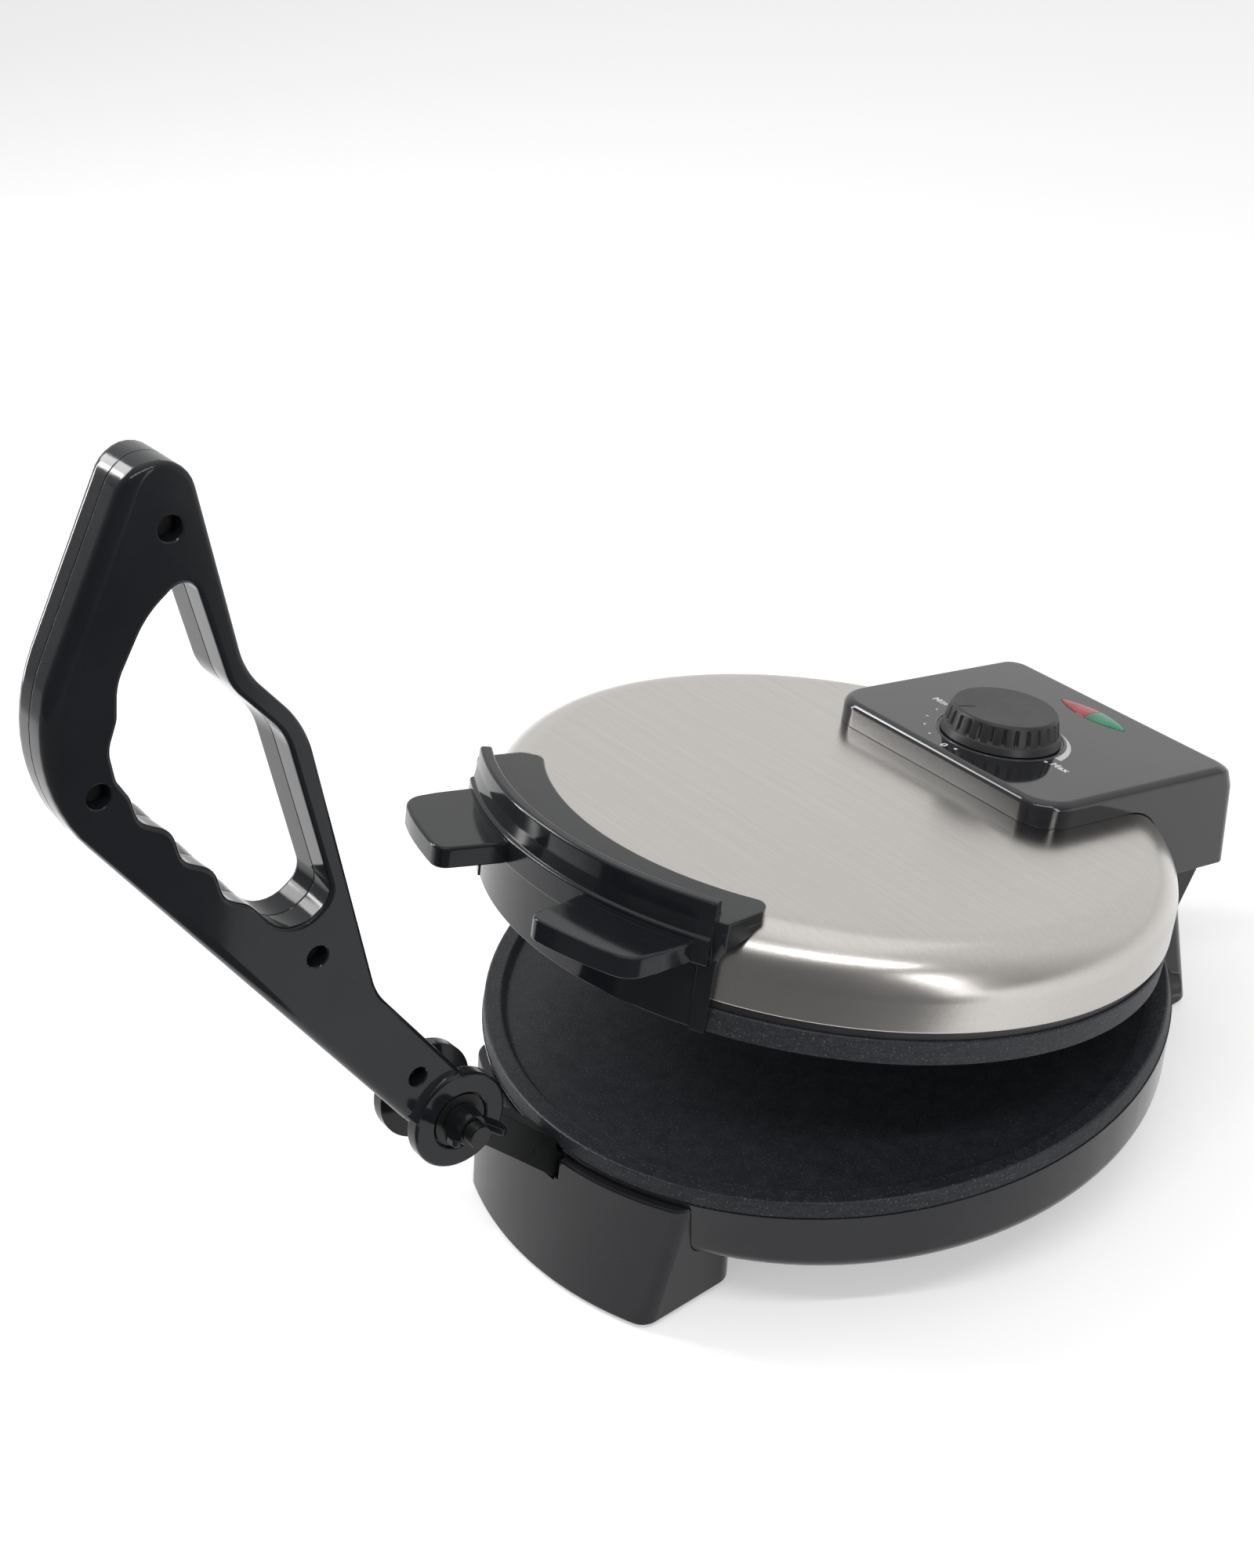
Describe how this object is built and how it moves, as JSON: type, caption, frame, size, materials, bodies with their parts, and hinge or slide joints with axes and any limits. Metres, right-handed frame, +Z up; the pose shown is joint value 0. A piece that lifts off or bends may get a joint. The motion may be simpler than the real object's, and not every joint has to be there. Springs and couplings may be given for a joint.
{
  "type": "electric roti maker",
  "caption": "Electric roti maker with a hinged steel lid, coated cast plates, a dial with two lamps and a tall press lever in front",
  "frame": {"origin": "middle of the lower plate's cooking face; the table is 57 mm below", "axes": "+Z up, -Y toward the user and the lever, +X to the user's right"},
  "size_m": [0.2606, 0.4473, 0.3594],
  "materials": {
    "coated_cast_plate": "cast, with a dark non-stick coat",
    "heater_sheath": "dull tube",
    "bright_sheet": "mill finish",
    "ceramic": "unglazed ceramic, off-white",
    "satin_black_plastic": "satin black",
    "matte_black_plastic": "matte black",
    "gloss_black_plastic": "polished black",
    "foot_rubber": "matte",
    "brushed_cover_steel": "fine brushed, satin",
    "black_painted_steel": "black coat",
    "zinc_steel": "zinc plated",
    "lamp_glass": "clear neon lamps",
    "red_lens_plastic": "translucent red",
    "green_lens_plastic": "translucent green"
  },
  "bodies": {
    "base": {"lower_plate": "coated_cast_plate", "lower_heater": "heater_sheath", "lower_heat_shield": "bright_sheet", "lower_cutout": "ceramic", "base_bowl": "satin_black_plastic", "terminal_block": "ceramic", "base_screws": "zinc_steel", "front_foot_block": "satin_black_plastic", "rear_hinge_block": "satin_black_plastic", "block_screws": "zinc_steel", "foot_front_left": "foot_rubber", "foot_front_right": "foot_rubber", "foot_rear_left": "foot_rubber", "foot_rear_right": "foot_rubber", "cord_gland": "matte_black_plastic", "hinge_pin": "zinc_steel", "press_bracket": "black_painted_steel", "bracket_bolts": "zinc_steel", "pivot_sleeve": "zinc_steel"},
    "lid": {"upper_plate": "coated_cast_plate", "upper_heater": "heater_sheath", "upper_heat_shield": "bright_sheet", "insulating_ring": "matte_black_plastic", "lid_cover": "brushed_cover_steel", "front_pad": "gloss_black_plastic", "pad_screws": "zinc_steel", "control_housing": "satin_black_plastic", "housing_screws": "zinc_steel", "cover_screws": "zinc_steel", "thermostat": "ceramic", "indicator_lamps": "lamp_glass", "red_lens": "red_lens_plastic", "green_lens": "green_lens_plastic"},
    "knob": {"control_knob": "matte_black_plastic", "thermostat_shaft": "zinc_steel"},
    "lever": {"lever_right_half": "gloss_black_plastic", "lever_left_half": "gloss_black_plastic", "lever_screws": "black_painted_steel", "pivot_bolt": "black_painted_steel", "pivot_washer": "black_painted_steel"},
    "nut": {"wing_nut": "matte_black_plastic"}
  },
  "joints": [
    {"name": "lid_hinge", "type": "hinge", "parent": "base", "child": "lid", "pos_m": [0, 0.1474, 0.0134], "axis": [-1, 0, 0], "range_deg": [-14.4, 80]},
    {"name": "lever_pivot", "type": "hinge", "parent": "base", "child": "lever", "pos_m": [0, -0.1715, 0.0368], "axis": [-1, 0, 0], "range_deg": [-75, 42]},
    {"name": "knob_turn", "type": "hinge", "parent": "lid", "child": "knob", "pos_m": [0, 0.09338, 0.07001], "axis": [0, -0.2487, -0.9686], "range_deg": [-22, 248]},
    {"name": "wing_nut_turn", "type": "hinge", "parent": "lever", "child": "nut", "pos_m": [0.016, -0.1715, 0.0368], "axis": [1, 0, 0], "range_deg": [-180, 180]}
  ]
}
